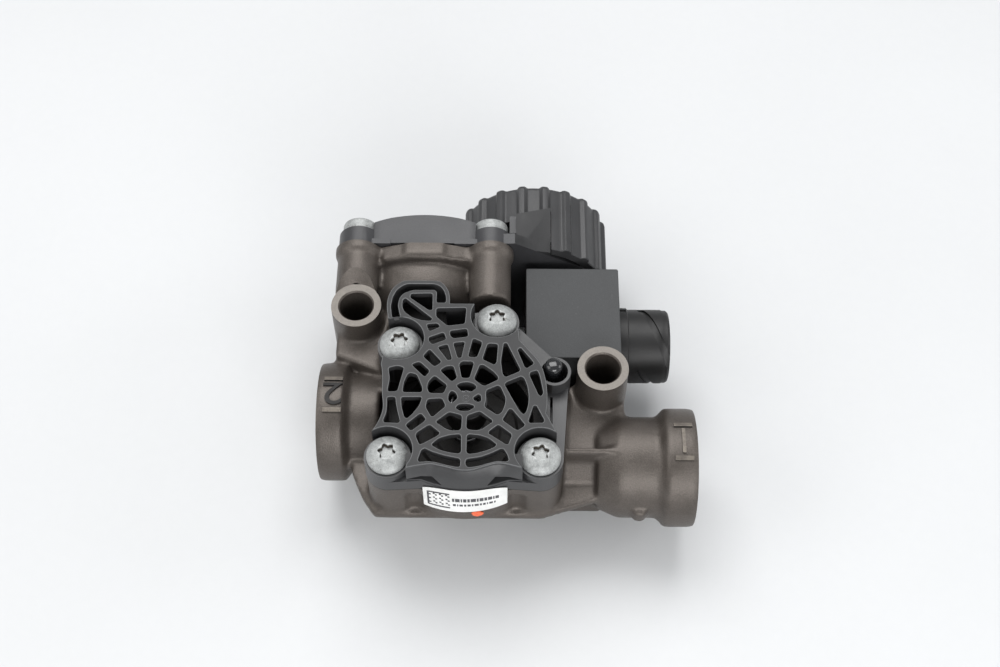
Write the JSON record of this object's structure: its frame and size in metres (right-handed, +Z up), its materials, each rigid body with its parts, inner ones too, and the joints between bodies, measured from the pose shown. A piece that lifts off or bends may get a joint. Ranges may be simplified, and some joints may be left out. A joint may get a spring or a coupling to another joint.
{
  "type": "air brake modulator valve",
  "caption": "Compressed-air modulator valve: cast body with two facing pipe ports and two mounting bosses, moulded web grille on top, ribbed solenoid cap, terminal block and round plug socket.",
  "frame": {"origin": "centre of the bounding box's bottom face, on the plane the casting stands on", "axes": "+X towards the supply port, +Y towards the solenoid cap, +Z up out of the exhaust grille"},
  "size_m": [0.1282, 0.126, 0.0642],
  "materials": {
    "cast_aluminium": "as cast, bead blasted and coated dark grey-brown",
    "grey_nylon": "moulded, fine satin",
    "black_nylon": "moulded, satin",
    "matt_nylon": "moulded, fine matt texture",
    "gasket_rubber": "matt",
    "seal_rubber": "smooth, matt",
    "diaphragm_rubber": "matt",
    "black_rubber": "smooth, slight sheen",
    "zinc_steel": "zinc flake coated, dull",
    "spring_steel": "drawn wire",
    "core_steel": "ground",
    "tinned_brass": "tinned, bright",
    "board_laminate": "coated laminate",
    "bobbin_plastic": "moulded, satin",
    "copper_wire": "enamelled copper winding",
    "label_paper": "coated paper, blank",
    "orange_paint": "dried paint"
  },
  "bodies": {
    "housing": {"valve_body": "cast_aluminium", "exhaust_cover": "grey_nylon", "exhaust_cover_gasket": "gasket_rubber", "grille_screw_rear_left": "zinc_steel", "grille_screw_rear_right": "zinc_steel", "grille_screw_front_left": "zinc_steel", "grille_screw_front_right": "zinc_steel", "breather_plug": "black_rubber", "exhaust_spring": "spring_steel", "solenoid_cover": "black_nylon", "ribbed_cap": "black_nylon", "cover_bolt_upper_left": "zinc_steel", "cover_bolt_upper_right": "zinc_steel", "cover_bolt_lower_left": "zinc_steel", "cover_bolt_lower_right": "zinc_steel", "solenoid_cover_seal": "seal_rubber", "hold_spring": "spring_steel", "terminal_block": "matt_nylon", "connector_shell": "black_nylon", "connector_seal": "seal_rubber", "connector_pin_1": "tinned_brass", "connector_pin_2": "tinned_brass", "connector_pin_3": "tinned_brass", "terminal_board": "board_laminate", "coil_frame": "zinc_steel", "hold_bobbin": "bobbin_plastic", "exhaust_bobbin": "bobbin_plastic", "hold_coil": "copper_wire", "exhaust_coil": "copper_wire", "hold_core": "core_steel", "exhaust_core": "core_steel", "hold_armature_spring": "spring_steel", "exhaust_armature_spring": "spring_steel", "label": "label_paper", "paint_mark": "orange_paint"},
    "exhaust_diaphragm": {"exhaust_diaphragm": "diaphragm_rubber"},
    "hold_diaphragm": {"hold_diaphragm": "diaphragm_rubber"},
    "hold_armature": {"hold_armature": "core_steel"},
    "exhaust_armature": {"exhaust_armature": "core_steel"}
  },
  "joints": [
    {"name": "exhaust_diaphragm_lift", "type": "slide", "parent": "housing", "child": "exhaust_diaphragm", "axis": [0, 0, 1], "range_m": [0, 0.0025], "stiffness_N_per_m": 400, "springref_m": -0.005, "deforming": ["exhaust_spring"]},
    {"name": "hold_diaphragm_lift", "type": "slide", "parent": "housing", "child": "hold_diaphragm", "axis": [0, 1, 0], "range_m": [0, 0.0025], "stiffness_N_per_m": 400, "springref_m": -0.005, "deforming": ["hold_spring"]},
    {"name": "hold_armature_stroke", "type": "slide", "parent": "housing", "child": "hold_armature", "axis": [0, 1, 0], "range_m": [0, 0.001], "stiffness_N_per_m": 800, "springref_m": -0.002, "deforming": ["hold_armature_spring"]},
    {"name": "exhaust_armature_stroke", "type": "slide", "parent": "housing", "child": "exhaust_armature", "axis": [0, 1, 0], "range_m": [0, 0.001], "stiffness_N_per_m": 800, "springref_m": -0.002, "deforming": ["exhaust_armature_spring"]}
  ]
}
